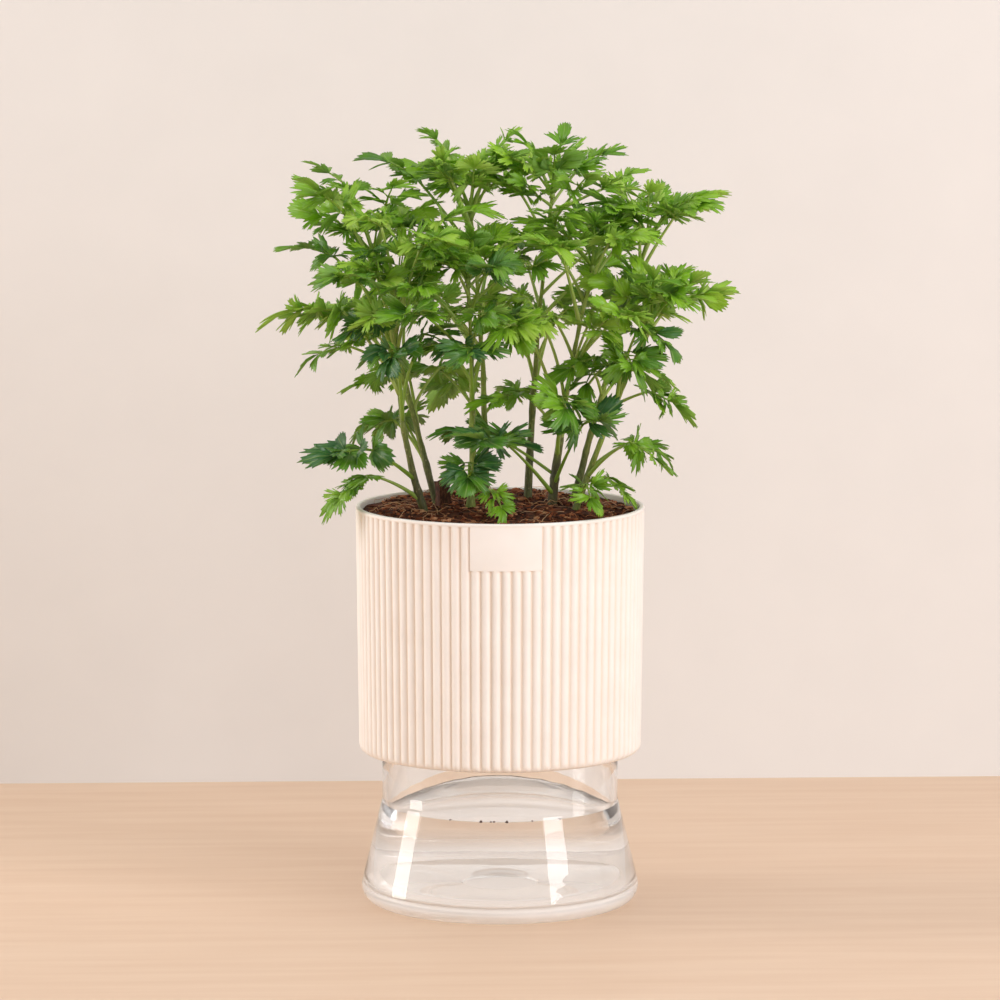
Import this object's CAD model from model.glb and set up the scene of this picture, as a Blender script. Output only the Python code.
"""A young parsley aralia in a ribbed pot that stands on a clear water reservoir.

Lengths in the tables and settings are millimetres; Blender's own units are metres.
"""

import math
import random

import bpy
from bpy.props import FloatProperty, FloatVectorProperty, IntProperty, PointerProperty
from mathutils import Matrix, Vector, noise


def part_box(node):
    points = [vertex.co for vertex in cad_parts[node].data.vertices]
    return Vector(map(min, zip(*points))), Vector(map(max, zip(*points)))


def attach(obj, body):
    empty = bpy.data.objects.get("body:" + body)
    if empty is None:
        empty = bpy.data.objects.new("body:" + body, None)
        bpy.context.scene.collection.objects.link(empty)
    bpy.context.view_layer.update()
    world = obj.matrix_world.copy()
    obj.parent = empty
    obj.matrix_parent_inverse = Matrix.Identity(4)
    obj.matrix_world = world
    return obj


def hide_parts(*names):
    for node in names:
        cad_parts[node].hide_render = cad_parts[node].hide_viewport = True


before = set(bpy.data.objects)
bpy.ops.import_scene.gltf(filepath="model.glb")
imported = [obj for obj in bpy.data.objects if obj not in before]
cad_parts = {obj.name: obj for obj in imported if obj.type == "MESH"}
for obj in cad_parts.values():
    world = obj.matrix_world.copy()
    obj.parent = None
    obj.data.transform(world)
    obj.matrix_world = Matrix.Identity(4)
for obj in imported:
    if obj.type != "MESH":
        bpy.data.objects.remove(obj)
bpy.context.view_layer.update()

bl_info = {
    "name": "Potted aralia",
    "version": (1, 0, 0),
    "blender": (4, 5, 0),
    "location": "View3D > Sidebar > Aralia",
    "description": "Models a parsley aralia in a ribbed pot on a clear reservoir",
    "category": "Add Mesh",
}

MM = 0.001
FULL_TURN = 2 * math.pi
STAND, PLANTED = "stand", "planted_pot"


def corners_mm(node):
    """A CAD node's lowest and highest corners, in millimetres."""
    low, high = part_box(node)
    return Vector(low) / MM, Vector(high) / MM


POT_LOW, POT_HIGH = corners_mm("pot")
TANK_HIGH = corners_mm("reservoir")[1]
WATER_LOW, WATER_HIGH = corners_mm("water")
MIX_LOW, MIX_HIGH = corners_mm("potting_mix")
CHIP_LOW, CHIP_HIGH = corners_mm("bark_chip")

# Canes, as in the CAD model: foot, middle point, tip, radius at the foot, radius at the tip
CANES = [
    ((-29, -6, 158), (-45, -8, 200), (-43, -10, 253), 2, 1.1),
    ((-24, 9, 158), (-36, 14, 205), (-52, 14, 270), 1.8, 1),
    ((-13, -8, 158), (-10, -10, 210), (-14, -16, 262), 2.1, 1.1),
    ((-6, 12, 158), (-4, 18, 220), (-12, 10, 289), 1.9, 1),
    ((21, 0, 158), (24, -2, 205), (38, -4, 266), 2.5, 1.1),
    ((12, 14, 158), (14, 20, 225), (22, 8, 295), 2, 1),
    ((28, -9, 158), (42, -14, 200), (62, -12, 244), 1.7, 1.1),
    ((29, 11, 158), (42, 18, 210), (62, 12, 276), 1.9, 1),
]
# How green each cane's bark is, from 0, woody brown, to 1, fresh
CANE_GREEN = (0.15, 0.3, 0.85, 0.7, 0.1, 0.3, 0.6, 0.45)

# Leaves, as in the CAD model: cane, place along it, where the blade begins, pitch, size
LEAVES = [
    (0, 0.14, (-54, -10, 181), -24, 20),
    (0, 0.24, (-54, -22, 193), 8, 25),
    (0, 0.62, (-65, -10, 249), 0, 23),
    (0, 0.50, (-44, -32, 236), -8, 20),
    (0, 0.75, (-58, -28, 262), 8, 20),
    (0, 0.88, (-34, -30, 276), 6, 21),
    (1, 0.20, (-40, 34, 200), -6, 20),
    (1, 0.38, (-38, 36, 222), -14, 18),
    (1, 0.52, (-60, 34, 244), 0, 22),
    (1, 0.60, (-62, 14, 232), -10, 17),
    (1, 0.78, (-68, 4, 270), 8, 18),
    (1, 0.92, (-64, 2, 288), 20, 21),
    (2, 0.14, (-4, -30, 177), -28, 13),
    (2, 0.16, (-14, -34, 189), -8, 19),
    (2, 0.50, (-14, -38, 238), -6, 22),
    (2, 0.68, (-32, -38, 250), 2, 20),
    (2, 0.86, (-8, -34, 266), 8, 21),
    (3, 0.28, (-16, 42, 214), -4, 20),
    (3, 0.52, (-24, 44, 248), 2, 21),
    (3, 0.70, (-2, 44, 268), 10, 20),
    (3, 0.86, (-34, 12, 302), 14, 18),
    (3, 0.93, (-20, -4, 302), 34, 15),
    (4, 0.14, (2, -32, 196), 22, 26),
    (4, 0.30, (24, -34, 216), 0, 22),
    (4, 0.42, (8, -32, 246), -4, 21),
    (4, 0.60, (44, -34, 250), -6, 21),
    (4, 0.80, (24, -30, 274), 6, 20),
    (5, 0.40, (24, 46, 240), 0, 20),
    (5, 0.62, (40, 42, 262), 4, 20),
    (5, 0.78, (22, -16, 285), 16, 18),
    (5, 0.90, (30, -16, 298), 14, 18),
    (6, 0.14, (34, -34, 180), -12, 15),
    (6, 0.26, (52, -26, 196), -12, 18),
    (6, 0.62, (50, -32, 234), -14, 22),
    (6, 0.88, (71, -6, 252), 6, 21),
    (7, 0.14, (44, 4, 178), -22, 14),
    (7, 0.40, (61, 0, 214), -8, 19),
    (7, 0.62, (58, 38, 248), 0, 21),
    (7, 0.84, (72, 2, 286), 10, 18),
]

# How many leaves stand where one CAD leaf does, above which height in mm, in the middle of the
# plant and at its sides
CROWDING = {
    "middle": ((235, 4), (190, 3), (0, 1)),
    "side": ((213, 3), (195, 2), (0, 1)),
}
MIDDLE_HALF = 40

# Half outlines of the leaflets, from the middle tip round to the stalk: angle in degrees from
# the midrib, and distance from the stalk as a share of the leaflet's length
LEAFLET_HALVES = {
    "leaflet_three_lobed": [
        (0, 1), (2.1, 0.9), (4.9, 0.97), (6.3, 0.8), (8.4, 0.6), (11.2, 0.8), (14, 0.94),
        (16.8, 0.82), (20.3, 0.86), (22.4, 0.62), (25.2, 0.5), (29.4, 0.56), (33.6, 0.42),
        (37.1, 0.16),
    ],
    "leaflet_slim": [
        (0, 1), (2.1, 0.86), (4.9, 0.9), (6.3, 0.66), (8.4, 0.42), (10.5, 0.68),
        (13.3, 0.88), (16.1, 0.7), (19.6, 0.76), (21.7, 0.48), (23.8, 0.32), (27.3, 0.48),
        (30.8, 0.5), (33.6, 0.28), (35.7, 0.1),
    ],
    "leaflet_wedge": [
        (0, 0.92), (2.8, 0.84), (6.3, 1), (8.4, 0.8), (10.5, 0.58), (14, 0.8),
        (17.5, 0.93), (20.3, 0.74), (24.5, 0.76), (28, 0.52), (32.2, 0.44), (35.7, 0.15),
    ],
    "leaflet_round": [
        (0, 1), (3.5, 0.9), (6.3, 0.97), (9.1, 0.82), (12.6, 0.94), (16.1, 0.78),
        (20.3, 0.87), (23.8, 0.7), (28, 0.74), (32.2, 0.54), (37.1, 0.48), (40.6, 0.16),
    ],
}
LEAFLET_RINGS = (0, 0.55, 1)
# A leaflet's thickness as a share of its length, thick enough to keep two clean sides
LEAFLET_THICKNESS = 0.018
# A place on the leaflets' map that no vein crosses, for the faces of everything else
OFF_VEINS = (0, 0.3)

# Lamps: place and size in metres, power in watts, colour
LAMPS = {
    "softbox_right": ((1.0, -0.85, 0.7), (0.5, 0.9), 9.5, "FCFCFF"),
    "softbox_left": ((-1.15, 0.1, 0.55), (0.42, 1.0), 8.5, "FFFCF8"),
    "front": ((0.5, -1.8, 1.3), (1.2, 1.2), 9, "FFFDFC"),
    "top": ((0, -0.3, 1.9), (1.6, 1.0), 5, "FFFCFA"),
}


# ---------------------------------------------------------------- settings


class PotSettings(bpy.types.PropertyGroup):
    ribs: IntProperty(name="Ribs", description="Upright ribs round the pot", default=88, min=20)
    rib_depth: FloatProperty(
        name="Rib depth", description="Depth of the valleys in mm", default=1.35
    )
    panel_ribs: IntProperty(
        name="Panel width", description="Ribs that the smooth panel replaces", default=7
    )
    panel_height: FloatProperty(
        name="Panel height", description="Height of the smooth panel in mm", default=19.4
    )
    colour: FloatVectorProperty(
        name="Pot colour",
        description="sRGB colour of the moulded pot",
        subtype="COLOR_GAMMA",
        size=3,
        default=(0.975, 0.955, 0.94),
    )


class ReservoirSettings(bpy.types.PropertyGroup):
    wall: FloatProperty(name="Wall", description="Wall thickness in mm", default=2.6)
    steps: IntProperty(name="Steps", description="Steps round the reservoir", default=160)


class PlantSettings(bpy.types.PropertyGroup):
    seed: IntProperty(name="Seed", description="Seed of the leaves' small differences", default=7)
    curl: FloatProperty(name="Curl", description="How far leaflets' tips droop", default=0.3)
    fold: FloatProperty(name="Fold", description="How far leaflets fold upwards", default=0.24)


class StageSettings(bpy.types.PropertyGroup):
    lens: FloatProperty(name="Lens", description="Focal length in mm", default=205.6)
    distance: FloatProperty(
        name="Distance", description="Camera to axis", default=2.3535, unit="LENGTH"
    )
    height: FloatProperty(name="Height", description="Camera height", default=0.4793, unit="LENGTH")
    tilt: FloatProperty(
        name="Tilt", description="Downward tilt", default=math.radians(7.509), subtype="ANGLE"
    )
    turn: FloatProperty(
        name="Turn", description="Turn round the axis", default=math.radians(-2.4), subtype="ANGLE"
    )


# ---------------------------------------------------------------- materials


def linear(colour):
    """An sRGB hex colour, such as "F5E6D8", as linear RGBA."""
    channels = [int(colour[i : i + 2], 16) / 255 for i in (0, 2, 4)]
    return [c / 12.92 if c <= 0.04045 else ((c + 0.055) / 1.055) ** 2.4 for c in channels] + [1]


def hex_of(rgb):
    """Three sRGB channels from 0 to 1 as a hex colour."""
    return "".join(f"{round(255 * channel):02X}" for channel in rgb)


def repeat(size_mm):
    """The texture scale at which a pattern repeats about every size_mm."""
    return 1 / (size_mm * MM)


def add_node(material, kind, inputs, stops=(), **attributes):
    """Adds a node with its settings and links, and gives its outputs.

    inputs maps an input's name or number to a socket, a hex colour or a value. stops are a colour
    ramp's (position, hex colour) pairs, and the rest are the node's own attributes.
    """
    tree = material.node_tree
    node = tree.nodes.new(kind)
    for name, value in attributes.items():
        setattr(node, name, value)
    for place, value in inputs.items():
        if isinstance(value, bpy.types.NodeSocket):
            tree.links.new(value, node.inputs[place])
        else:
            node.inputs[place].default_value = linear(value) if isinstance(value, str) else value
    for number, (position, colour) in enumerate(stops):
        elements = node.color_ramp.elements
        element = elements[number] if number < len(elements) else elements.new(position)
        element.position = position
        element.color = linear(colour)
    return node.outputs


def new_material(name):
    """An empty material, and the object coordinates that its patterns read."""
    material = bpy.data.materials.new(name)
    material.use_nodes = True
    material.node_tree.nodes.clear()
    place = add_node(material, "ShaderNodeTexCoord", {})["Object"]
    return material, place


def moulded_polypropylene():
    """Injection-moulded polypropylene with a satin face: soft highlights, a fine spark-eroded
    grain, a hint of mottling where the melt cooled, and light that warms as it bounces between
    the ribs. The valley attribute runs from 0 on a rib's crest to 1 between two ribs."""
    material, place = new_material("moulded_polypropylene_cream")
    body = hex_of(bpy.context.scene.aralia_pot.colour)
    mottle = add_node(
        material, "ShaderNodeTexNoise", {"Vector": place, "Scale": repeat(14), "Detail": 2}
    )["Fac"]
    grain = add_node(
        material, "ShaderNodeTexNoise", {"Vector": place, "Scale": repeat(0.35), "Detail": 2}
    )["Fac"]
    face = add_node(
        material, "ShaderNodeValToRGB", {"Fac": mottle}, stops=[(0.3, "F5EFEA"), (0.7, body)]
    )["Color"]
    valley = add_node(material, "ShaderNodeAttribute", {}, attribute_name="valley")["Fac"]
    depth = add_node(material, "ShaderNodeMath", {0: valley, 1: 2}, operation="POWER")[0]
    warmth = add_node(material, "ShaderNodeMath", {0: depth, 1: 0.75}, operation="MULTIPLY")[0]
    colour = add_node(
        material, "ShaderNodeMix", {0: warmth, 6: face, 7: "E0C09E"}, data_type="RGBA"
    )[2]
    roughness = add_node(
        material, "ShaderNodeMath", {0: grain, 1: 0.1, 2: 0.4}, operation="MULTIPLY_ADD"
    )[0]
    normal = add_node(
        material, "ShaderNodeBump", {"Height": grain, "Distance": 0.012 * MM}
    )["Normal"]
    shader = add_node(
        material,
        "ShaderNodeBsdfPrincipled",
        {
            "Base Color": colour,
            "Roughness": roughness,
            "Normal": normal,
            "IOR": 1.49,
            "Subsurface Weight": 0.08,
            "Subsurface Radius": (1.0, 0.8, 0.65),
            "Subsurface Scale": 0.8 * MM,
        },
    )
    add_node(material, "ShaderNodeOutputMaterial", {"Surface": shader[0]})
    return material


def lit_through(material, shader):
    """Finishes a clear material so that lamps also light what stands in or behind it."""
    ray = add_node(material, "ShaderNodeLightPath", {})
    lit = add_node(
        material,
        "ShaderNodeMath",
        {0: ray["Is Shadow Ray"], 1: ray["Is Diffuse Ray"]},
        operation="MAXIMUM",
    )[0]
    open_way = add_node(material, "ShaderNodeBsdfTransparent", {"Color": "FFFFFF"})
    both = add_node(material, "ShaderNodeMixShader", {0: lit, 1: shader, 2: open_way[0]})
    add_node(material, "ShaderNodeOutputMaterial", {"Surface": both[0]})


def clear_moulded_plastic():
    """Clear injection-moulded styrene plastic: water-white, glossy, and very slightly uneven, so
    straight things seen through it waver. The foot is a little milky, from its etched mould."""
    material, place = new_material("clear_moulded_styrene")
    stretched = add_node(
        material, "ShaderNodeMapping", {"Vector": place, "Scale": (1, 1, 2.6)}
    )["Vector"]
    wavy = add_node(
        material, "ShaderNodeTexNoise", {"Vector": stretched, "Scale": repeat(16), "Detail": 1}
    )["Fac"]
    normal = add_node(
        material,
        "ShaderNodeBump",
        {"Height": wavy, "Strength": 0.08, "Distance": 0.5 * MM},
    )["Normal"]
    height = add_node(material, "ShaderNodeSeparateXYZ", {"Vector": place})["Z"]
    clearness = add_node(
        material,
        "ShaderNodeMapRange",
        {
            "Value": height,
            "From Min": 3 * MM,
            "From Max": 13 * MM,
            "To Min": 0.45,
            "To Max": 1.0,
        },
    )["Result"]
    shader = add_node(
        material,
        "ShaderNodeBsdfPrincipled",
        {
            "Base Color": "FFFFFF",
            "Roughness": 0.01,
            "IOR": 1.5,
            "Transmission Weight": clearness,
            "Normal": normal,
        },
    )
    lit_through(material, shader[0])
    return material


def still_water():
    """Still tap water: clear, with a barely moving surface."""
    material, place = new_material("still_tap_water")
    ripple = add_node(
        material, "ShaderNodeTexNoise", {"Vector": place, "Scale": repeat(22), "Detail": 1}
    )["Fac"]
    normal = add_node(
        material,
        "ShaderNodeBump",
        {"Height": ripple, "Strength": 0.12, "Distance": 0.3 * MM},
    )["Normal"]
    shader = add_node(
        material,
        "ShaderNodeBsdfPrincipled",
        {
            "Base Color": "FEFFFF",
            "Roughness": 0.0,
            "IOR": 1.333,
            "Transmission Weight": 1.0,
            "Normal": normal,
        },
    )
    lit_through(material, shader[0])
    return material


def coir_mix():
    """Milled coconut coir and peat: dark red-brown, matte, with lighter torn crumbs. The tone
    attribute says how light each crumb is."""
    material, place = new_material("milled_coir_mix")
    tone = add_node(material, "ShaderNodeAttribute", {}, attribute_name="tone")["Fac"]
    clods = add_node(
        material,
        "ShaderNodeTexNoise",
        {"Vector": place, "Scale": repeat(2.2), "Detail": 5, "Roughness": 0.7},
    )["Fac"]
    part = add_node(material, "ShaderNodeMath", {0: clods, 1: 0.6}, operation="MULTIPLY")[0]
    mixed = add_node(
        material, "ShaderNodeMath", {0: tone, 1: 0.6, 2: part}, operation="MULTIPLY_ADD"
    )[0]
    colour = add_node(
        material,
        "ShaderNodeValToRGB",
        {"Fac": mixed},
        stops=[
            (0.15, "160A07"), (0.42, "472315"), (0.62, "7A4127"), (0.8, "A5623E"), (0.98, "D2A47C"),
        ],
    )["Color"]
    normal = add_node(material, "ShaderNodeBump", {"Height": clods, "Distance": 0.6 * MM})["Normal"]
    shader = add_node(
        material,
        "ShaderNodeBsdfPrincipled",
        {"Base Color": colour, "Normal": normal, "Roughness": 0.88, "Specular IOR Level": 0.25},
    )
    add_node(material, "ShaderNodeOutputMaterial", {"Surface": shader[0]})
    return material


def coir_fibre():
    """Loose coconut fibre and fine roots: straw to fox-red strands with a faint sheen."""
    material, place = new_material("loose_coir_fibre")
    tone = add_node(material, "ShaderNodeAttribute", {}, attribute_name="tone")["Fac"]
    patches = add_node(
        material, "ShaderNodeTexNoise", {"Vector": place, "Scale": repeat(5), "Detail": 3}
    )["Fac"]
    part = add_node(material, "ShaderNodeMath", {0: tone, 1: 0.7}, operation="MULTIPLY")[0]
    mixed = add_node(
        material, "ShaderNodeMath", {0: patches, 1: 0.3, 2: part}, operation="MULTIPLY_ADD"
    )[0]
    colour = add_node(
        material,
        "ShaderNodeValToRGB",
        {"Fac": mixed},
        stops=[(0.1, "7A4429"), (0.5, "B67A4E"), (0.9, "E2BC94")],
    )["Color"]
    normal = add_node(
        material, "ShaderNodeBump", {"Height": patches, "Distance": 0.05 * MM}
    )["Normal"]
    shader = add_node(
        material,
        "ShaderNodeBsdfPrincipled",
        {"Base Color": colour, "Normal": normal, "Roughness": 0.6},
    )
    add_node(material, "ShaderNodeOutputMaterial", {"Surface": shader[0]})
    return material


def pine_bark():
    """A torn chip of pine bark: layered, cracked and dry."""
    material, place = new_material("torn_pine_bark")
    layered = add_node(
        material, "ShaderNodeMapping", {"Vector": place, "Scale": (3, 3, 0.8)}
    )["Vector"]
    flakes = add_node(
        material,
        "ShaderNodeTexNoise",
        {"Vector": layered, "Scale": repeat(2.4), "Detail": 5, "Roughness": 0.65},
    )["Fac"]
    colour = add_node(
        material,
        "ShaderNodeValToRGB",
        {"Fac": flakes},
        stops=[(0.3, "24130D"), (0.5, "533020"), (0.7, "865A40")],
    )["Color"]
    normal = add_node(
        material, "ShaderNodeBump", {"Height": flakes, "Distance": 0.5 * MM}
    )["Normal"]
    shader = add_node(
        material,
        "ShaderNodeBsdfPrincipled",
        {"Base Color": colour, "Normal": normal, "Roughness": 0.85},
    )
    add_node(material, "ShaderNodeOutputMaterial", {"Surface": shader[0]})
    return material


def cane_bark():
    """Thin corky bark over a green stem: brown and cracked low down, olive higher up, with pale
    breathing pores. The tone attribute says how green the stem is at each point."""
    material, place = new_material("corky_young_bark")
    tone = add_node(material, "ShaderNodeAttribute", {}, attribute_name="tone")["Fac"]
    long_grain = add_node(
        material, "ShaderNodeMapping", {"Vector": place, "Scale": (2.6, 2.6, 0.5)}
    )["Vector"]
    streaks = add_node(
        material,
        "ShaderNodeTexNoise",
        {"Vector": long_grain, "Scale": repeat(1.6), "Detail": 4, "Roughness": 0.6},
    )["Fac"]
    blotch = add_node(
        material, "ShaderNodeTexNoise", {"Vector": place, "Scale": repeat(7), "Detail": 3}
    )["Fac"]
    uneven = add_node(
        material, "ShaderNodeMath", {0: blotch, 1: 0.5, 2: -0.25}, operation="MULTIPLY_ADD"
    )[0]
    green = add_node(
        material, "ShaderNodeMath", {0: tone, 1: uneven}, operation="ADD", use_clamp=True
    )[0]
    woody = add_node(
        material,
        "ShaderNodeValToRGB",
        {"Fac": streaks},
        stops=[(0.3, "262017"), (0.55, "4A4028"), (0.75, "776B46")],
    )["Color"]
    fresh = add_node(
        material,
        "ShaderNodeValToRGB",
        {"Fac": streaks},
        stops=[(0.3, "748A32"), (0.6, "9DB34C"), (0.8, "BECC72")],
    )["Color"]
    pores = add_node(
        material, "ShaderNodeTexVoronoi", {"Vector": place, "Scale": repeat(2.6)}
    )["Distance"]
    pore = add_node(material, "ShaderNodeMath", {0: pores, 1: 0.17}, operation="LESS_THAN")[0]
    pore = add_node(material, "ShaderNodeMath", {0: pore, 1: 0.35}, operation="MULTIPLY")[0]
    colour = add_node(
        material, "ShaderNodeMix", {0: green, 6: woody, 7: fresh}, data_type="RGBA"
    )[2]
    colour = add_node(
        material, "ShaderNodeMix", {0: pore, 6: colour, 7: "B3A47A"}, data_type="RGBA"
    )[2]
    normal = add_node(
        material, "ShaderNodeBump", {"Height": streaks, "Distance": 0.25 * MM}
    )["Normal"]
    shader = add_node(
        material,
        "ShaderNodeBsdfPrincipled",
        {
            "Base Color": colour,
            "Normal": normal,
            "Roughness": 0.5,
            "Subsurface Weight": 0.1,
            "Subsurface Scale": 1 * MM,
        },
    )
    add_node(material, "ShaderNodeOutputMaterial", {"Surface": shader[0]})
    return material


def waxy_leaf(name, stops, vein, translucence):
    """Living aralia leaf: a waxy skin over soft green, with paler veins that run from the stalk
    to each lobe, a paler matte underside, and light that glows through. The mark attribute holds
    the leaf's tone in red, its underside in green and its stalk in blue."""
    material, place = new_material(name)
    mark = add_node(material, "ShaderNodeAttribute", {}, attribute_name="mark")["Color"]
    tone, under, stalk = add_node(material, "ShaderNodeSeparateColor", {"Color": mark})
    blotch = add_node(
        material, "ShaderNodeTexNoise", {"Vector": place, "Scale": repeat(9), "Detail": 3}
    )["Fac"]
    uneven = add_node(
        material, "ShaderNodeMath", {0: blotch, 1: 0.5, 2: -0.25}, operation="MULTIPLY_ADD"
    )[0]
    shade = add_node(
        material, "ShaderNodeMath", {0: tone, 1: uneven}, operation="ADD", use_clamp=True
    )[0]
    skin = add_node(material, "ShaderNodeValToRGB", {"Fac": shade}, stops=stops)["Color"]

    # Veins: rays of the leaflet's own map, which opens like a fan from the stalk, as shares of
    # the fan's width
    vein_step, vein_half, midrib_half = 0.125, 0.012, 0.022
    plan = add_node(material, "ShaderNodeUVMap", {}, uv_map="leaf_plan")["UV"]
    length, side, _ = add_node(material, "ShaderNodeSeparateXYZ", {"Vector": plan})
    aside = add_node(material, "ShaderNodeMath", {0: side, 1: 0.5}, operation="SUBTRACT")[0]
    aside = add_node(material, "ShaderNodeMath", {0: aside}, operation="ABSOLUTE")[0]
    fan = add_node(material, "ShaderNodeMath", {0: aside, 1: vein_step}, operation="PINGPONG")[0]
    fan = add_node(material, "ShaderNodeMath", {0: fan, 1: vein_half}, operation="LESS_THAN")[0]
    fan = add_node(material, "ShaderNodeMath", {0: fan, 1: 0.55}, operation="MULTIPLY")[0]
    midrib = add_node(
        material, "ShaderNodeMath", {0: aside, 1: midrib_half}, operation="LESS_THAN"
    )[0]
    taper = add_node(
        material, "ShaderNodeMath", {0: length, 1: -0.7, 2: 1.0}, operation="MULTIPLY_ADD"
    )[0]
    veins = add_node(material, "ShaderNodeMath", {0: midrib, 1: fan}, operation="MAXIMUM")[0]
    veins = add_node(material, "ShaderNodeMath", {0: veins, 1: taper}, operation="MULTIPLY")[0]
    on_veins = add_node(material, "ShaderNodeMath", {0: veins, 1: 0.5}, operation="MULTIPLY")[0]
    skin = add_node(
        material, "ShaderNodeMix", {0: on_veins, 6: skin, 7: vein}, data_type="RGBA"
    )[2]

    pale = add_node(
        material, "ShaderNodeMix", {0: 0.35, 6: skin, 7: "B6D08E"}, data_type="RGBA"
    )[2]
    on_back = add_node(material, "ShaderNodeMath", {0: under, 1: 0.8}, operation="MULTIPLY")[0]
    skin = add_node(material, "ShaderNodeMix", {0: on_back, 6: skin, 7: pale}, data_type="RGBA")[2]
    stalk_skin = add_node(
        material,
        "ShaderNodeValToRGB",
        {"Fac": shade},
        stops=[(0.1, "86A840"), (0.6, "A8C658"), (0.95, "C8D87C")],
    )["Color"]
    skin = add_node(
        material, "ShaderNodeMix", {0: stalk, 6: skin, 7: stalk_skin}, data_type="RGBA"
    )[2]

    waxy = add_node(
        material, "ShaderNodeMath", {0: blotch, 1: 0.14, 2: 0.24}, operation="MULTIPLY_ADD"
    )[0]
    roughness = add_node(
        material, "ShaderNodeMath", {0: under, 1: 0.22, 2: waxy}, operation="MULTIPLY_ADD"
    )[0]
    cells = add_node(
        material, "ShaderNodeTexNoise", {"Vector": place, "Scale": repeat(1.1), "Detail": 2}
    )["Fac"]
    relief = add_node(
        material, "ShaderNodeMath", {0: veins, 1: -0.8, 2: cells}, operation="MULTIPLY_ADD"
    )[0]
    normal = add_node(
        material, "ShaderNodeBump", {"Height": relief, "Distance": 0.12 * MM}
    )["Normal"]
    shader = add_node(
        material,
        "ShaderNodeBsdfPrincipled",
        {
            "Base Color": skin,
            "Roughness": roughness,
            "Normal": normal,
            "IOR": 1.45,
            "Specular IOR Level": 0.6,
        },
    )
    glow = add_node(
        material, "ShaderNodeMix", {0: 0.45, 6: skin, 7: "C4EA34"}, data_type="RGBA"
    )[2]
    through = add_node(material, "ShaderNodeBsdfTranslucent", {"Color": glow})
    both = add_node(
        material, "ShaderNodeMixShader", {0: translucence, 1: shader[0], 2: through[0]}
    )
    add_node(material, "ShaderNodeOutputMaterial", {"Surface": both[0]})
    return material


def mature_leaf():
    """Aralia leaf that has hardened: deep to mid green, thick and a little waxy."""
    stops = [(0.0, "3A6E3C"), (0.22, "5C9228"), (0.6, "93C62E"), (1.0, "BEE056")]
    return waxy_leaf("mature_aralia_leaf", stops, "CBE08A", 0.35)


def young_leaf():
    """Aralia leaf that has just opened: yellow-green, thin, and brighter with light behind it."""
    stops = [(0.0, "5C9724"), (0.4, "95CA2A"), (0.75, "B2DC42"), (1.0, "CDE96A")]
    return waxy_leaf("young_aralia_leaf", stops, "DAEE98", 0.4)


def painted_board():
    """A pale, evenly lacquered board for the floor, with a faint long grain."""
    material, place = new_material("pale_lacquered_board")
    grain_way = add_node(
        material, "ShaderNodeMapping", {"Vector": place, "Scale": (0.25, 3, 1)}
    )["Vector"]
    grain = add_node(
        material, "ShaderNodeTexNoise", {"Vector": grain_way, "Scale": repeat(30), "Detail": 4}
    )["Fac"]
    colour = add_node(
        material,
        "ShaderNodeValToRGB",
        {"Fac": grain},
        stops=[(0.3, "D4B79E"), (0.7, "DBC1A9")],
    )["Color"]
    shader = add_node(
        material,
        "ShaderNodeBsdfPrincipled",
        {"Base Color": colour, "Roughness": 0.5, "Specular IOR Level": 0.3},
    )
    add_node(material, "ShaderNodeOutputMaterial", {"Surface": shader[0]})
    return material


def matte_wall():
    """A matte painted wall that is see-through from behind, so it hides nothing."""
    material, place = new_material("matte_wall_paint")
    rolled = add_node(
        material, "ShaderNodeTexNoise", {"Vector": place, "Scale": repeat(40), "Detail": 2}
    )["Fac"]
    colour = add_node(
        material,
        "ShaderNodeValToRGB",
        {"Fac": rolled},
        stops=[(0.3, "E6E3E1"), (0.7, "E8E5E3")],
    )["Color"]
    paint = add_node(
        material, "ShaderNodeBsdfPrincipled", {"Base Color": colour, "Roughness": 0.9}
    )
    clear = add_node(material, "ShaderNodeBsdfTransparent", {})
    back = add_node(material, "ShaderNodeNewGeometry", {})["Backfacing"]
    both = add_node(material, "ShaderNodeMixShader", {0: back, 1: paint[0], 2: clear[0]})
    add_node(material, "ShaderNodeOutputMaterial", {"Surface": both[0]})
    return material


def soft_room():
    """A pale room all round: it looks bright in gloss and glass, and lights matte things less."""
    world = bpy.data.worlds.new("soft_room")
    world.use_nodes = True
    world.node_tree.nodes.clear()
    in_gloss, on_matte = 0.92, 0.46
    matte = add_node(world, "ShaderNodeLightPath", {})["Is Diffuse Ray"]
    strength = add_node(
        world,
        "ShaderNodeMath",
        {0: matte, 1: on_matte - in_gloss, 2: in_gloss},
        operation="MULTIPLY_ADD",
    )[0]
    room = add_node(world, "ShaderNodeBackground", {"Color": "FFFAF6", "Strength": strength})
    add_node(world, "ShaderNodeOutputWorld", {"Surface": room[0]})
    return world


def give(piece, material):
    """Makes a material the piece's only one."""
    piece.data.materials.clear()
    piece.data.materials.append(material)


# ---------------------------------------------------------------- modelling


def deselect_all():
    """Leaves edit mode and selects nothing."""
    if bpy.context.mode != "OBJECT":
        bpy.ops.object.mode_set(mode="OBJECT")
    bpy.ops.object.select_all(action="DESELECT")


def smooth(piece, degrees):
    """Shades smooth over edges that turn less than this."""
    deselect_all()
    piece.select_set(True)
    bpy.context.view_layer.objects.active = piece
    bpy.ops.object.shade_smooth_by_angle(angle=math.radians(degrees))


def arc(x, z, radius, start, end, count):
    """Points on an arc of an outline, angles in degrees from +X."""
    points = []
    for step in range(count + 1):
        angle = math.radians(start + (end - start) * step / count)
        points.append((x + radius * math.cos(angle), z + radius * math.sin(angle)))
    return points


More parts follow.
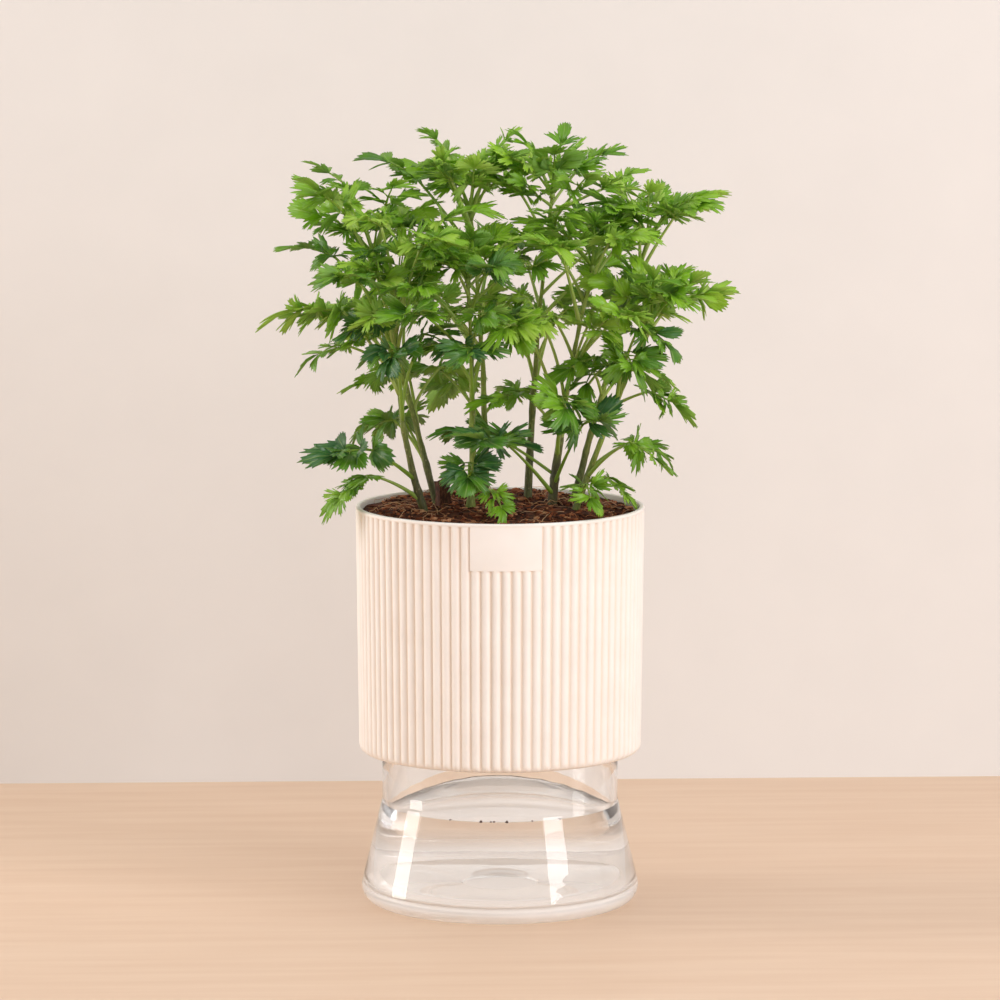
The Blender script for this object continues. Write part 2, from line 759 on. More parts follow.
def lathe(name, outline, steps):
    """Spins an outline of (radius, height) points in mm about Z into a closed solid."""
    deselect_all()
    bpy.ops.mesh.primitive_circle_add(vertices=len(outline), radius=1, location=(0, 0, 0))
    piece = bpy.context.object
    piece.name = name
    for vertex, (radius, height) in zip(piece.data.vertices, outline):
        vertex.co = (radius * MM, 0, height * MM)
    on_axis = {i for i, point in enumerate(outline) if point[0] < 1e-6}
    bpy.ops.object.mode_set(mode="EDIT")
    bpy.ops.mesh.select_mode(type="VERT")
    bpy.ops.mesh.select_all(action="DESELECT")
    bpy.ops.object.mode_set(mode="OBJECT")
    for vertex in piece.data.vertices:
        vertex.select = vertex.index in on_axis
    bpy.ops.object.mode_set(mode="EDIT")
    if len(on_axis) > 1:
        bpy.ops.mesh.delete(type="EDGE_FACE")
    bpy.ops.mesh.select_all(action="SELECT")
    bpy.ops.mesh.spin(steps=steps, angle=FULL_TURN, center=(0, 0, 0), axis=(0, 0, 1))
    bpy.ops.mesh.select_all(action="SELECT")
    bpy.ops.mesh.remove_doubles(threshold=0.002 * MM)
    bpy.ops.mesh.normals_make_consistent(inside=False)
    bpy.ops.object.mode_set(mode="OBJECT")
    return piece


class Shape:
    """Points and faces gathered into one mesh, with marks that the materials read."""

    def __init__(self):
        self.points, self.faces, self.plans, self.marks = [], [], [], []

    def add(self, points, faces, marks, plans=None):
        first = len(self.points)
        self.points.extend(points)
        self.marks.extend(marks)
        for number, face in enumerate(faces):
            self.faces.append([first + corner for corner in face])
            self.plans.extend(plans[number] if plans else [OFF_VEINS] * len(face))

    def piece(self, name, material, slot, body, node=None):
        """Makes the object, in metres, and hands it to the frame."""
        mesh = bpy.data.meshes.new(name)
        mesh.from_pydata([Vector(p) * MM for p in self.points], [], self.faces)
        plan = mesh.uv_layers.new(name="leaf_plan")
        plan.data.foreach_set("uv", [value for uv in self.plans for value in uv])
        mark = mesh.attributes.new("mark", "FLOAT_COLOR", "POINT")
        mark.data.foreach_set("color", [v for m in self.marks for v in (*m, 1.0)])
        tone = mesh.attributes.new("tone", "FLOAT", "POINT")
        tone.data.foreach_set("value", [m[0] for m in self.marks])
        mesh.polygons.foreach_set("use_smooth", [True] * len(mesh.polygons))
        piece = bpy.data.objects.new(name, mesh)
        bpy.context.collection.objects.link(piece)
        hand_over(piece, material, body, node)


def hand_over(piece, material, body, node=None):
    """Gives a piece its material, and says what its finish is, what it rides on and which CAD
    node it stands for."""
    give(piece, material)
    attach(piece, body)
    if node:
        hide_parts(node)


def sweep(shape, path, radii, sides, mark):
    """Adds a round tube along a path. mark is one (red, green, blue) or a list with one for each
    of the path's points."""
    marks = mark if isinstance(mark, list) else [mark] * len(path)
    points, faces, all_marks = [], [], []
    across = None
    for number, here in enumerate(path):
        before, after = path[max(number - 1, 0)], path[min(number + 1, len(path) - 1)]
        way = (after - before).normalized()
        if across is None:
            across = way.orthogonal().normalized()
        across = (across - way * across.dot(way)).normalized()
        up = way.cross(across)
        for side in range(sides):
            angle = FULL_TURN * side / sides
            points.append(here + radii[number] * (math.cos(angle) * across + math.sin(angle) * up))
            all_marks.append(marks[number])
    for ring in range(len(path) - 1):
        for side in range(sides):
            near, far = ring * sides, (ring + 1) * sides
            after = (side + 1) % sides
            faces.append([near + side, near + after, far + after, far + side])
    faces.append(list(range(sides - 1, -1, -1)))
    last = (len(path) - 1) * sides
    faces.append([last + side for side in range(sides)])
    shape.add(points, faces, all_marks)


def crumb_models(dice):
    """Five torn lumps about two across, each from an ico sphere, as points and faces."""
    kinds, least, most = 5, 0.6, 1.15
    models = []
    for _ in range(kinds):
        deselect_all()
        bpy.ops.mesh.primitive_ico_sphere_add(subdivisions=1, radius=1, location=(0, 0, 0))
        lump = bpy.context.object
        for vertex in lump.data.vertices:
            vertex.co *= dice.uniform(least, most)
        points = [vertex.co.copy() for vertex in lump.data.vertices]
        faces = [list(polygon.vertices) for polygon in lump.data.polygons]
        models.append((points, faces))
        bpy.data.objects.remove(lump)
    return models


def cane_point(cane, share):
    """A point on the curve that a cane follows, from 0 at its foot to 1 at its tip."""
    foot, middle, tip = (Vector(point) for point in CANES[cane][:3])
    rest = 1 - share
    return rest * rest * foot + 2 * share * rest * middle + share * share * tip


def stalk_path(start, end, pitch, count):
    """The upright arc that a stalk follows, and the heading in which it arrives."""
    least_turn, most_turn = 8, 32
    chord = end - start
    run = math.hypot(chord.x, chord.y)
    heading = math.atan2(chord.y, chord.x)
    rise = math.degrees(math.atan2(chord.z, run))
    turn = max(least_turn, min(most_turn, 0.5 * (rise - pitch)))
    radius = chord.length / 2 / math.sin(math.radians(turn / 2))
    first = math.radians(rise + turn / 2)
    path = []
    for step in range(count + 1):
        now = math.radians(rise + turn / 2 - turn * step / count)
        along = radius * (math.sin(first) - math.sin(now))
        up = radius * (math.cos(now) - math.cos(first))
        path.append(start + Vector((along * math.cos(heading), along * math.sin(heading), up)))
    return path, heading


# ---------------------------------------------------------------- operators


class ARALIA_OT_reservoir(bpy.types.Operator):
    """Model the clear reservoir and the water in it"""

    bl_idname = "aralia.reservoir"
    bl_label = "Reservoir and water"

    def execute(self, context):
        settings = context.scene.aralia_reservoir
        wall, steps = settings.wall, settings.steps
        top, level = TANK_HIGH.z, WATER_HIGH.z
        neck, heel, shoulder = 49.2, TANK_HIGH.x, 43.5
        heel_round, neck_round, neck_round_up, edge = 7.2, 8, 1.6, 0.9
        recess, recess_out, foot_flat = 0.6, 42.5, 47
        corner, floor, gate, gate_edge, gate_floor = 6.0, 6.0, 12.0, 0.2, WATER_LOW.z
        slope = math.degrees(math.atan2(heel - neck, shoulder - heel_round))
        inner_heel = heel - wall - 1
        inner_neck = neck - wall
        floor_round = arc(inner_heel - corner, floor + corner, corner, 0, -90, 12)
        outline = [(0, recess), (recess_out, recess), (recess_out + recess, 0), (foot_flat, 0)]
        outline += arc(heel - heel_round, heel_round, heel_round, -90, slope, 20)
        outline += arc(neck + neck_round, shoulder + neck_round_up, neck_round, 180 + slope, 180, 6)
        outline += [(neck, top - edge)]
        outline += arc(neck - edge, top - edge, edge, 0, 90, 5)[1:]
        outline += arc(inner_neck + edge, top - edge, edge, 90, 180, 5)
        outline += [(inner_neck, shoulder)] + floor_round
        outline += [(gate + 2 * gate_edge, floor), (gate, floor - gate_edge)]
        outline += [(gate - gate_edge, gate_floor), (0, gate_floor)]
        tank = lathe("reservoir_shell", outline, steps)
        smooth(tank, 28)
        hand_over(tank, clear_moulded_plastic(), STAND, "reservoir")

        # The water reaches a hair into the wall, so that no film of air shows between them
        overlap = 0.12
        at_level = inner_neck + (inner_heel - inner_neck) * (shoulder - level) / (
            shoulder - floor - corner
        )
        # The water's edge climbs the wall: outwards from the wall's face, and up from the level
        meniscus = ((overlap, 0.5), (-0.5, 0.2), (-1.6, 0))
        surface = [(0, gate_floor - overlap), (gate - 0.1, gate_floor - overlap)]
        surface += [(gate + 2 * gate_edge, floor - overlap)]
        surface += [(r + overlap, z) for r, z in reversed(floor_round)][1:]
        surface += [(at_level + out, level + up) for out, up in meniscus]
        surface += [(at_level * 0.6, level), (0, level)]
        water = lathe("water_fill", surface, steps)
        smooth(water, 40)
        hand_over(water, still_water(), STAND, "water")

        # A few crumbs of the mix that have washed through and float at the near edge, each in
        # its direction from the axis in degrees
        directions = (-102, -97, -95.5, -89, -76, -61, -118)
        from_wall, afloat, dark = 0.9, 0.25, (0.1, 0, 0)
        dice = random.Random(5)
        models = crumb_models(dice)
        specks = Shape()
        for degrees in directions:
            turn, size = math.radians(degrees), dice.uniform(0.5, 0.85)
            middle = Vector((math.cos(turn), math.sin(turn), 0)) * (at_level - from_wall)
            points, faces = dice.choice(models)
            points = [middle + Vector((0, 0, level + afloat)) + size * p for p in points]
            specks.add(points, faces, [dark] * len(points))
        specks.piece("water_specks", coir_mix(), "coir_mix", STAND)
        return {"FINISHED"}


class ARALIA_OT_pot(bpy.types.Operator):
    """Model the ribbed pot with its smooth panel, lip and skirt"""

    bl_idname = "aralia.pot"
    bl_label = "Ribbed pot"

    def execute(self, context):
        settings = context.scene.aralia_pot
        rim, foot = POT_HIGH.z, POT_LOW.z
        radius = POT_HIGH.x
        taper, wall, lip, fillet, edge = 1.2, 2.0, 1.3, 3.4, 0.6
        floor, thick, floor_round, hole = foot + 10, 3.0, 6, 5.0
        ring, ring_thick, ring_deep = 45.8, 2, 5
        skirt_in, skirt_edge = 4.2, 3.8
        panel = rim - settings.panel_height
        # Rings close to the panel's lower edge keep it crisp
        at_panel = (-1, -0.25, 0.1, 0.8)

        def crest(z):
            return radius - taper * (rim - z) / (rim - foot)

        valley = settings.rib_depth
        inner = crest(foot) - valley
        outline = [(inner - skirt_in, floor), (inner - skirt_in, foot + 1)]
        outline += [(inner - skirt_edge, foot + 0.2)]
        outline += arc(crest(foot + fillet) - fillet, foot + fillet, fillet, -88, 0, 10)
        heights = [foot + 40, *(panel + up for up in at_panel), rim - lip - 0.5]
        outline += [(crest(z), z) for z in heights]
        outline += [(crest(rim) - 0.1, rim - lip), (radius, rim - lip + 0.25)]
        outline += arc(radius - edge, rim - edge, edge, 0, 90, 5)
        outline += arc(radius - wall + edge, rim - edge, edge, 90, 180, 5)
        outline += [(radius - wall - 0.3, rim - 20)]
        outline += [(crest(floor + floor_round) - wall, floor + floor_round)]
        outline += [(crest(floor) - wall - thick, floor + thick)]
        outline += [(hole, floor + thick), (hole, floor)]
        outline += [(ring - ring_thick, floor), (ring - ring_thick, floor - ring_deep)]
        outline += [(ring, floor - ring_deep), (ring, floor)]

        columns_a_rib = 9
        pot = lathe("ribbed_pot", outline, settings.ribs * columns_a_rib)
        half_pitch = math.pi / settings.ribs
        chord = radius * math.sin(half_pitch)
        reed = (chord * chord + valley * valley) / (2 * valley)
        panel_edge = (settings.panel_ribs - 0.1) * half_pitch
        valleys = pot.data.attributes.new("valley", "FLOAT", "POINT").data
        for vertex in pot.data.vertices:
            x, y, z = (value / MM for value in vertex.co)
            out = math.hypot(x, y)
            # Only the outside between the foot and the lip is ribbed
            if z < foot + 0.05 or z > rim - lip - 0.3 or out < crest(z) - 3.6:
                continue
            on_fillet = min(1, (z - foot) / fillet)
            if out < crest(z) - 0.4 and on_fillet >= 1:
                continue
            angle = math.atan2(y, x)
            from_front = math.remainder(angle + math.pi / 2, FULL_TURN)
            if z > panel and abs(from_front) < panel_edge:
                continue
            # The panel's middle stands on a rib, so a rib's crest is straight ahead
            within = math.remainder(from_front, 2 * half_pitch) / half_pitch
            drop = reed - math.sqrt(reed * reed - (within * chord) ** 2)
            drop *= math.sin(on_fillet * math.pi / 2)
            valleys[vertex.index].value = drop / valley
            scale = (out - drop) / out
            vertex.co.x *= scale
            vertex.co.y *= scale
        smooth(pot, 32)
        hand_over(pot, moulded_polypropylene(), PLANTED, "pot")
        return {"FINISHED"}


def mix_height(x, y):
    """Height in mm of the mix's lumpy face, which is mounded in the middle and heaped a little
    towards the back."""
    radius, mounded, heaped, below = 57, 3.4, 1.8, 4.1
    clod, crumb = 17, 4.5
    mound = mounded * max(0, 1 - (math.hypot(x, y) / radius) ** 2)
    lumps = 1.7 * noise.noise(Vector((x / clod, y / clod, 3.7)))
    lumps += 0.8 * noise.noise(Vector((x / crumb, y / crumb, 9.1)))
    return MIX_HIGH.z - below + heaped * y / radius + mound + lumps


class ARALIA_OT_mix(bpy.types.Operator):
    """Model the potting mix with its crumbs, fibres and bark chip"""

    bl_idname = "aralia.mix"
    bl_label = "Potting mix"

    def execute(self, context):
        dice = random.Random(11)
        low, edge = MIX_LOW.z, MIX_HIGH.x - 0.35
        rows, steps, crumb_count, fibre_count = 30, 144, 1500, 150
        top = MIX_HIGH.z - 5
        outline = [(0, low), (edge - 4, low), (edge - 1, low + 3)]
        outline += [(edge * (1 - row / rows), top) for row in range(rows)]
        outline += [(0, top)]
        bed = lathe("mix_bed", outline, steps)
        for vertex in bed.data.vertices:
            if vertex.co.z > (top - 1) * MM:
                x, y = vertex.co.x / MM, vertex.co.y / MM
                vertex.co.z = mix_height(x, y) * MM
        tone = bed.data.attributes.new("tone", "FLOAT", "POINT")
        tone.data.foreach_set(
            "value",
            [0.25 + 0.5 * noise.noise(vertex.co / (3 * MM)) for vertex in bed.data.vertices],
        )
        smooth(bed, 60)
        mix = bpy.data.materials.get("milled_coir_mix") or coir_mix()
        hand_over(bed, mix, PLANTED, "potting_mix")

        models = crumb_models(dice)
        crumbs = Shape()
        for _ in range(crumb_count):
            out, angle = (edge - 1.5) * math.sqrt(dice.random()), dice.uniform(0, FULL_TURN)
            x, y = out * math.cos(angle), out * math.sin(angle)
            size = dice.choice((0.45, 0.6, 0.8, 1.1)) * dice.uniform(0.7, 1.3)
            long = dice.uniform(0.8, 2.4)
            turn = Matrix.Rotation(dice.uniform(0, FULL_TURN), 3, "Z") @ Matrix.Rotation(
                dice.uniform(-0.6, 0.6), 3, "X"
            )
            sink = mix_height(x, y) + 0.25 * size
            points, faces = dice.choice(models)
            shade = dice.random()
            spread = [
                turn @ Vector((p.x * size * long, p.y * size, p.z * size * 0.7))
                + Vector((x, y, sink))
                for p in points
            ]
            crumbs.add(spread, faces, [(shade, 0, 0)] * len(spread))
        crumbs.piece("mix_crumbs", mix, "coir_mix", PLANTED)

        fibres = Shape()
        for _ in range(fibre_count):
            out, angle = (edge - 4) * math.sqrt(dice.random()), dice.uniform(0, FULL_TURN)
            heading, length = dice.uniform(0, FULL_TURN), dice.uniform(5, 22)
            lift, curl = dice.uniform(0, 2.4), dice.uniform(-1.6, 1.6)
            x, y = out * math.cos(angle), out * math.sin(angle)
            path, count = [], 9
            for step in range(count):
                share = step / (count - 1)
                above = 0.25 + lift * math.sin(math.pi * share) * (1 + 0.4 * math.sin(9 * share))
                path.append(Vector((x, y, mix_height(x, y) + above)))
                way = heading + curl * share
                x += length / count * math.cos(way)
                y += length / count * math.sin(way)
                limit = math.hypot(x, y) / (edge - 2)
                if limit > 1:
                    x, y = x / limit, y / limit
            thick = dice.uniform(0.09, 0.2)
            radii = [thick * (1 - 0.5 * step / count) for step in range(count)]
            sweep(fibres, path, radii, sides=5, mark=(dice.random(), 0, 0))
        fibres.piece("mix_fibres", coir_fibre(), "coir_mix", PLANTED)

        deselect_all()
        bpy.ops.mesh.primitive_cube_add(size=1, location=(0, 0, 0))
        chip = bpy.context.object
        chip.name = "bark_chip_torn"
        bpy.ops.object.mode_set(mode="EDIT")
        bpy.ops.mesh.subdivide(number_cuts=5)
        bpy.ops.object.mode_set(mode="OBJECT")
        middle = (CHIP_LOW + CHIP_HIGH) / 2
        size = Vector((5.2, 4.2, 12.2))
        lean = Matrix.Identity(3)
        for degrees, axis in ((20, "Z"), (-8, "Y"), (12, "X")):
            lean = lean @ Matrix.Rotation(math.radians(degrees), 3, axis)
        for vertex in chip.data.vertices:
            torn = noise.noise_vector(vertex.co * 4.5) * 0.16
            ridge = 0.1 * noise.noise(Vector((vertex.co.x * 9, vertex.co.y * 9, 0.7)))
            place = Vector(
                (torn.x + vertex.co.x * (1 + ridge), torn.y + vertex.co.y * (1 + ridge),
                 torn.z * 0.6 + vertex.co.z)
            )
            vertex.co = (middle + lean @ Vector(p * s for p, s in zip(place, size))) * MM
        smooth(chip, 35)
        hand_over(chip, pine_bark(), PLANTED, "bark_chip")
        return {"FINISHED"}


class ARALIA_OT_canes(bpy.types.Operator):
    """Model the woody canes"""

    bl_idname = "aralia.canes"
    bl_label = "Canes"

    def execute(self, context):
        bark = cane_bark()
        rings, sides, scar_count, scar_half = 44, 14, 9, 0.012
        deep, less_deep = 17, 8
        for number, (foot, middle, _, thick, thin) in enumerate(CANES):
            dice = random.Random(100 + number)
            shape = Shape()
            way = (Vector(middle) - Vector(foot)).normalized()
            path = [Vector(foot) - way * deep, Vector(foot) - way * less_deep]
            radii, marks = [thick, thick], [(0, 0, 0), (0, 0, 0)]
            scars = sorted(dice.uniform(0.05, 0.98) for _ in range(scar_count))
            for ring in range(rings + 1):
                share = ring / rings
                place = cane_point(number, share)
                wobble = noise.noise_vector(place / 14) * 0.45 * min(1, 4 * share * (1 - share))
                swell = sum(math.exp(-(((share - scar) / scar_half) ** 2)) for scar in scars)
                radius = (thick + (thin - thick) * min(1, 1.5 * share)) * (0.95 - 0.25 * share)
                path.append(place + wobble)
                radii.append(radius * (1 + 0.16 * min(1, swell)) + 0.12 * noise.noise(place / 3))
                fresh = 1 + 1.8 * CANE_GREEN[number]
                green = CANE_GREEN[number] * (0.6 + 0.4 * share) + fresh * max(0, share - 0.2)
                marks.append((min(1, green), 0, 0))
            path.append(path[-1] + (path[-1] - path[-2]).normalized() * 1.2)
            radii.append(radii[-1] * 0.6)
            marks.append(marks[-1])
            sweep(shape, path, radii, sides, marks)
            shape.piece(
                f"cane_{number + 1}_stem", bark, "cane_bark", PLANTED, f"cane_{number + 1}"
            )
        return {"FINISHED"}


def leaflet_models():
    """The four kinds of leaflet, each of length one and a few dozen faces a side, as points,
    faces and places on the leaflet's map."""
    stalk_end = 0.025
    last_ring = len(LEAFLET_RINGS) - 1
    models = []
    for name, half in LEAFLET_HALVES.items():
        rays = [(-angle, reach) for angle, reach in reversed(half[1:])] + half
        columns = len(rays) - 1
        deselect_all()
        bpy.ops.mesh.primitive_grid_add(
            x_subdivisions=last_ring, y_subdivisions=columns, size=1, location=(0, 0, 0)
        )
        leaflet = bpy.context.object
        leaflet.name = name
        for vertex in leaflet.data.vertices:
            ring = LEAFLET_RINGS[round((vertex.co.x + 0.5) * last_ring)]
            column = round((vertex.co.y + 0.5) * columns)
            angle, reach = rays[column]
            angle = math.radians(angle)
            # Inner rings run smoothly, and only the edge takes the teeth
            calm = 0.8 * math.cos(angle) ** 0.9
            reach = reach if ring == 1 else (calm * (1 - ring) + reach * ring)
            root = stalk_end * (column / columns - 0.5)
            vertex.co = (
                ring * reach * math.cos(angle),
                root * (1 - ring) + ring * reach * math.sin(angle),
                0,
            )
        thick = leaflet.modifiers.new("Thickness", "SOLIDIFY")
        thick.thickness = LEAFLET_THICKNESS
        thick.offset = -1
        bpy.ops.object.modifier_apply(modifier="Thickness")
        mesh = leaflet.data
        plan = mesh.uv_layers.active.data
        points = [vertex.co.copy() for vertex in mesh.vertices]
        faces = [list(polygon.vertices) for polygon in mesh.polygons]
        plans = [
            [tuple(plan[loop].uv) for loop in polygon.loop_indices] for polygon in mesh.polygons
        ]
        models.append((points, faces, plans))
        bpy.data.objects.remove(leaflet)
    return models


class Foliage:
    """Gathers the leaflets and stalks of one leaf or one tuft, and holds its random numbers."""

    def __init__(self, models, settings, seed):
        self.models, self.settings = models, settings
        self.dice = random.Random(settings.seed * 1000 + seed)
        self.shape = Shape()

    def leaflet(self, base, way, up, size, tone):
        """One leaflet from base along way, with its upper face towards up."""
        dice = self.dice
        model = dice.choice(self.models)
        way = way.normalized()
        across = up.cross(way).normalized()
        up = way.cross(across)
        roll = dice.uniform(-0.3, 0.3)
        across, up = (
            math.cos(roll) * across + math.sin(roll) * up,
            math.cos(roll) * up - math.sin(roll) * across,
        )
        curl = self.settings.curl * dice.uniform(0.1, 1.6)
        fold = self.settings.fold * dice.uniform(0.2, 1.4)
        wide, skew = dice.uniform(0.86, 1.14), dice.uniform(-0.14, 0.14)
        wave, phase = dice.uniform(0.03, 0.08), dice.uniform(0, FULL_TURN)
        lean = dice.uniform(-0.25, 0.25)
        points, marks = [], []
        for point in model[0]:
            x, y = point.x, point.y * (wide + skew if point.y > 0 else wide - skew)
            under = 1.0 if point.z < -LEAFLET_THICKNESS / 2 else 0.0
            ruffle = wave * x * math.sin(9 * math.atan2(y, x + 0.05) + phase)
            z = point.z + fold * abs(y) - curl * x * x + ruffle
            y += lean * x * x
            points.append(base + size * (way * x + across * y + up * z))
            marks.append((tone, under, 0.0))
        self.shape.add(points, model[1], marks, model[2])

    def stalk(self, path, thick, thin, tone, sides=7):
        """A round stalk along a path, from one radius to another in mm."""
        last = len(path) - 1
        radii = [thick + (thin - thick) * min(1, 1.3 * step / last) for step in range(last + 1)]
        sweep(self.shape, path, radii, sides, (tone, 0.0, 1.0))

    def sprig(self, base, way, face, size, tone, leaflets):
        """A short stalk with leaflets fanned round its end."""
        dice = self.dice
        way = way.normalized()
        across = face.cross(way).normalized()
        stem, lower = 0.3, 0.12
        tip = base + way * size * stem
        self.stalk([base, (base + tip) / 2 + face * 0.02 * size, tip], 0.36, 0.24, tone, 5)
        for number in range(leaflets):
            hand = number % 2 * 2 - 1 if number else 0
            step = (number + 1) // 2
            angle = hand * math.radians(dice.uniform(40, 58) * step)
            out = way * math.cos(angle) + across * math.sin(angle)
            out = out + Vector((0, 0, dice.uniform(-0.25, 0.25)))
            start = tip if not number else base + way * size * (stem - lower * step)
            long = size * dice.uniform(0.86, 1.06) * (1 if not number else 0.85)
            shade = tone + dice.uniform(-0.18, 0.18)
            turned = (face + 0.4 * spread(dice)).normalized()
            self.leaflet(start, out, turned, long, shade)

    def blade(self, base, heading, pitch, size, tone, sprigs, facing):
        """A divided blade: a midstalk that droops, with sprigs in pairs and one at its end.
        sprigs is how many leaflets each pair's sprigs hold, from the lowest pair to the end;
        facing is the way that the leaflets' upper faces turn."""
        dice = self.dice
        slope = math.radians(pitch)
        flat = Vector((math.cos(heading), math.sin(heading), 0))
        side = Vector((-math.sin(heading), math.cos(heading), 0))
        path, ways = [base], []
        count, droop, long = 8, 0.3, 0.62
        for step in range(count):
            now = slope - droop * step / count
            ways.append(flat * math.cos(now) + Vector((0, 0, math.sin(now))))
            path.append(path[-1] + ways[-1] * (long * size / count))
        ways.append(ways[-1])
        self.stalk(path, 0.55, 0.34, tone)
        pairs = len(sprigs) - 1
        for pair in range(pairs):
            share = (pair + 0.1) / pairs
            number = min(count, round(share * count))
            for hand in (-1, 1):
                way = ways[number]
                angle = math.radians(dice.uniform(46, 72) - 14 * share)
                out = way * math.cos(angle) + side * hand * math.sin(angle)
                out = out + facing * dice.uniform(-0.15, 0.35)
                face = (facing + 0.75 * spread(dice)).normalized()
                big = size * dice.uniform(0.62, 0.8) * (1 - 0.2 * share)
                self.sprig(path[number], out, face, big, tone, sprigs[pair])
        face = (facing + 0.4 * spread(dice)).normalized()
        big = size * dice.uniform(0.72, 0.84)
        self.sprig(path[-1], ways[-1], face, big, tone, sprigs[-1])


def spread(dice):
    """A random vector inside a cube two wide."""
    return Vector([dice.uniform(-1, 1) for _ in range(3)])


def facing_out(place, tilt):
    """The way that leaflets at a place turn their upper faces: up, and out from the axis."""
    rim_radius = 60
    out = Vector((place.x, place.y, 0)) / rim_radius
    return (Vector((0, 0, 1)) + tilt * out).normalized()


class ARALIA_OT_leaves(bpy.types.Operator):
    """Model the compound leaves on their stalks"""

    bl_idname = "aralia.leaves"
    bl_label = "Leaves"

    def execute(self, context):
        models = leaflet_models()
        skin = mature_leaf()
        low_under, high_over, lift = 215, 285, 26
        for number, (cane, share, begin, pitch, size) in enumerate(LEAVES):
            foliage = Foliage(models, context.scene.aralia_plant, number)
            dice = foliage.dice
            start, begin = cane_point(cane, share), Vector(begin)
            chord = begin - start
            # High leaves reach up, and low ones lie flat or droop
            high = max(0, min(1, (begin.z - low_under) / (high_over - low_under)))
            pitch += lift * high
            tone = 0.42 + 0.2 * high + dice.choice((-0.34, -0.16, 0, 0.08, 0.2))
            part = "middle" if abs(begin.x) < MIDDLE_HALF else "side"
            leaves = next(count for above, count in CROWDING[part] if begin.z > above)
            for leaf in range(leaves):
                at, end, big = start, begin, 0.94 * size
                if leaf:
                    # Smaller leaves from the same place, turned to either side
                    hand = -1 if leaf == 2 else 1
                    turn = hand * math.radians(dice.uniform(35, 65) + (60 if leaf == 3 else 0))
                    reach = dice.uniform(0.6, 0.85) if leaf == 1 else dice.uniform(0.4, 0.65)
                    at = cane_point(cane, min(0.97, share + 0.04 * leaf))
                    rise = dice.uniform(-4, 12)
                    out = Matrix.Rotation(turn, 3, "Z") @ Vector((chord.x, chord.y, 0))
                    end = start + out * reach + Vector((0, 0, chord.z + rise))
                    big = size * (0.9 - 0.06 * leaf)
                    tone = max(0.05, min(0.95, tone + dice.uniform(-0.12, 0.2)))
                path, heading = stalk_path(at, end, pitch, 11)
                thick = 1.0 - 0.12 * leaf
                foliage.stalk(path, thick, 0.55, min(1, tone + 0.3), 8)
                facing = facing_out(end, 1.2 - 1.2 * high)
                sprigs = (3, 1, 3, 3) if size >= 19 and not leaf else (3, 1, 3)
                foliage.blade(end, heading, pitch, big, tone, sprigs, facing)
            name = f"leaf_{number + 1:02d}"
            foliage.shape.piece(f"{name}_blade", skin, "leaf", PLANTED, name)
        return {"FINISHED"}


class ARALIA_OT_shoots(bpy.types.Operator):
    """Model the tufts of young leaves at the canes' tips"""

    bl_idname = "aralia.shoots"
    bl_label = "Shoots"

    def execute(self, context):
        models = leaflet_models()
        skin = young_leaf()
        leaves, apart = 7, 51.4
        for number, cane in enumerate(CANES):
            foliage = Foliage(models, context.scene.aralia_plant, 200 + number)
            dice = foliage.dice
            tip = Vector(cane[2]) + Vector((0, 0, 1.5))
            bud = [tip + Vector((0, 0, z)) for z in (-2.5, -1, 1, 2.6, 3.6)]
            foliage.stalk(bud, 1.4, 0.5, 0.7, 8)
            for leaf in range(leaves):
                turn = math.radians(apart * leaf + 50 * number + 20)
                inner = leaf % 2
                reach = 10 + dice.uniform(0, 4)
                out = Vector((math.cos(turn), math.sin(turn), 0))
                end = tip + out * reach * (0.4 if inner else 0.75) + Vector((0, 0, reach * 0.7))
                pitch = (68 if inner else 42) + dice.uniform(-8, 8)
                path, heading = stalk_path(tip + out * 0.8, end, pitch, 7)
                tone = 0.45 + dice.uniform(-0.35, 0.4)
                foliage.stalk(path, 0.75, 0.42, tone, 7)
                size = 14 if inner else 17
                facing = (out * -0.5 + Vector((0, -0.2, 0.8))).normalized()
                sprigs = (1, 1, 3) if inner else (3, 1, 3)
                foliage.blade(end, heading, pitch, size, tone, sprigs, facing)
            foliage.shape.piece(
                f"shoot_{number + 1}_tuft", skin, "young_leaf", PLANTED, f"shoot_{number + 1}"
            )
        return {"FINISHED"}


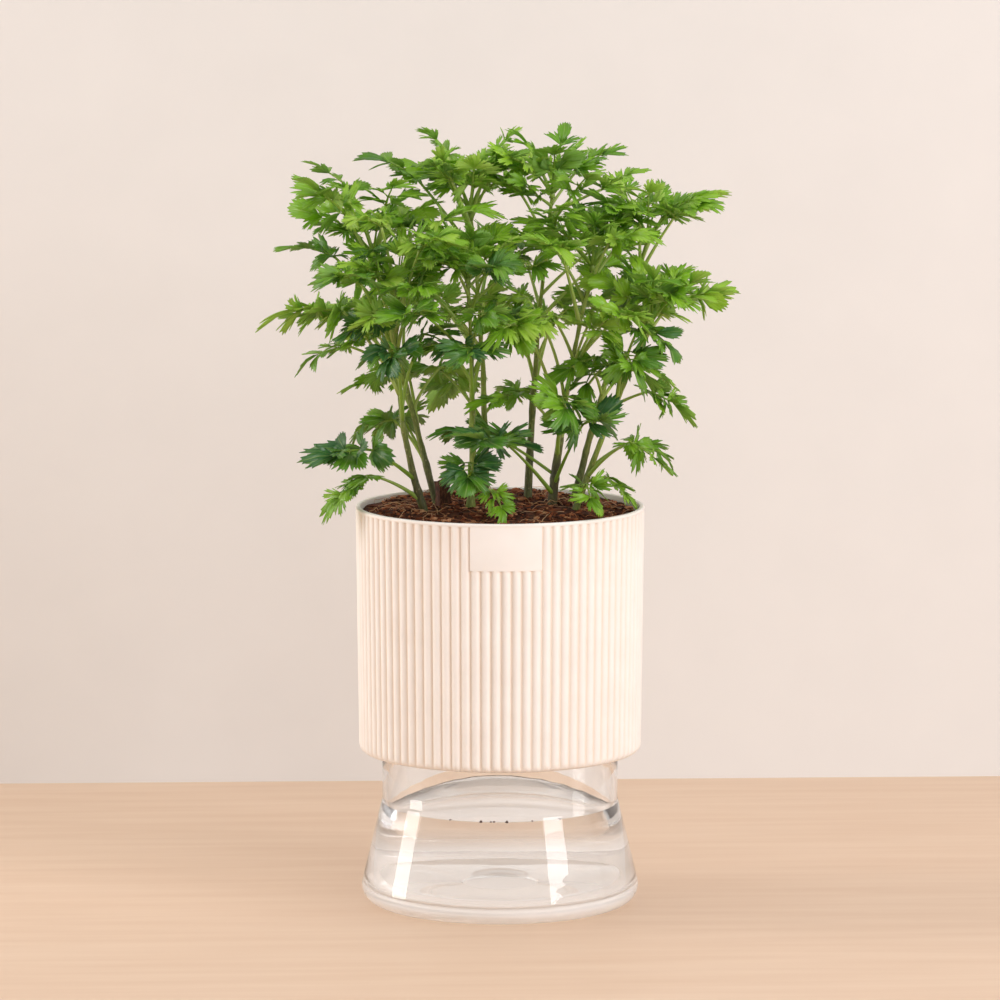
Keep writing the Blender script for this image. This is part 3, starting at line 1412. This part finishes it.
class ARALIA_OT_stage(bpy.types.Operator):
    """Set up the floor, the wall, the lights and the camera"""

    bl_idname = "aralia.stage"
    bl_label = "Stage"

    def execute(self, context):
        scene, settings = context.scene, context.scene.aralia_stage
        floor_size, wall_size, wall_behind = 5, 8, 0.28
        deselect_all()
        bpy.ops.mesh.primitive_plane_add(size=floor_size, location=(0, 0, 0))
        floor = context.object
        floor.name = "stage_floor"
        give(floor, painted_board())

        bpy.ops.mesh.primitive_plane_add(
            size=wall_size, location=(0, wall_behind, 0), rotation=(math.radians(90), 0, 0)
        )
        wall = context.object
        wall.name = "stage_wall"
        give(wall, matte_wall())

        middle = Vector((0, 0, 0.16))
        for name, (place, size, power, colour) in LAMPS.items():
            light = bpy.data.lights.new(name, "AREA")
            light.shape = "RECTANGLE"
            light.size, light.size_y = size
            light.energy = power
            light.color = linear(colour)[:3]
            lamp = bpy.data.objects.new(name, light)
            context.collection.objects.link(lamp)
            lamp.location = place
            lamp.rotation_euler = (middle - Vector(place)).to_track_quat("-Z", "Y").to_euler()
        scene.world = soft_room()

        camera_data = bpy.data.cameras.new("camera")
        camera_data.sensor_width = 36
        camera_data.lens = settings.lens
        camera = bpy.data.objects.new("camera", camera_data)
        context.collection.objects.link(camera)
        camera.location = (
            math.sin(settings.turn) * settings.distance,
            -math.cos(settings.turn) * settings.distance,
            settings.height,
        )
        camera.rotation_euler = (math.pi / 2 - settings.tilt, 0, settings.turn)
        scene.camera = camera
        scene.view_settings.view_transform = "Standard"
        return {"FINISHED"}


class ARALIA_PT_panel(bpy.types.Panel):
    """Lists the pieces of the potted aralia"""

    bl_idname = "ARALIA_PT_panel"
    bl_label = "Potted aralia"
    bl_space_type = "VIEW_3D"
    bl_region_type = "UI"
    bl_category = "Aralia"

    def draw(self, context):
        for operator in OPERATORS:
            self.layout.operator(operator.bl_idname)
        for name, group in SETTINGS.items():
            column = self.layout.column()
            for setting in group.__annotations__:
                column.prop(getattr(context.scene, name), setting)


SETTINGS = {
    "aralia_pot": PotSettings,
    "aralia_reservoir": ReservoirSettings,
    "aralia_plant": PlantSettings,
    "aralia_stage": StageSettings,
}
OPERATORS = (
    ARALIA_OT_reservoir,
    ARALIA_OT_pot,
    ARALIA_OT_mix,
    ARALIA_OT_canes,
    ARALIA_OT_leaves,
    ARALIA_OT_shoots,
    ARALIA_OT_stage,
)


def register():
    for kind in (*SETTINGS.values(), *OPERATORS, ARALIA_PT_panel):
        bpy.utils.register_class(kind)
    for name, group in SETTINGS.items():
        setattr(bpy.types.Scene, name, PointerProperty(type=group))


def unregister():
    for name in SETTINGS:
        delattr(bpy.types.Scene, name)
    for kind in reversed((*SETTINGS.values(), *OPERATORS, ARALIA_PT_panel)):
        bpy.utils.unregister_class(kind)


def main():
    # Left alone, noise_vector takes its seed from the clock
    noise.seed_set(1)
    register()
    bpy.ops.aralia.reservoir()
    bpy.ops.aralia.pot()
    bpy.ops.aralia.mix()
    bpy.ops.aralia.canes()
    bpy.ops.aralia.leaves()
    bpy.ops.aralia.shoots()
    bpy.ops.aralia.stage()


if __name__ == "__main__":
    main()
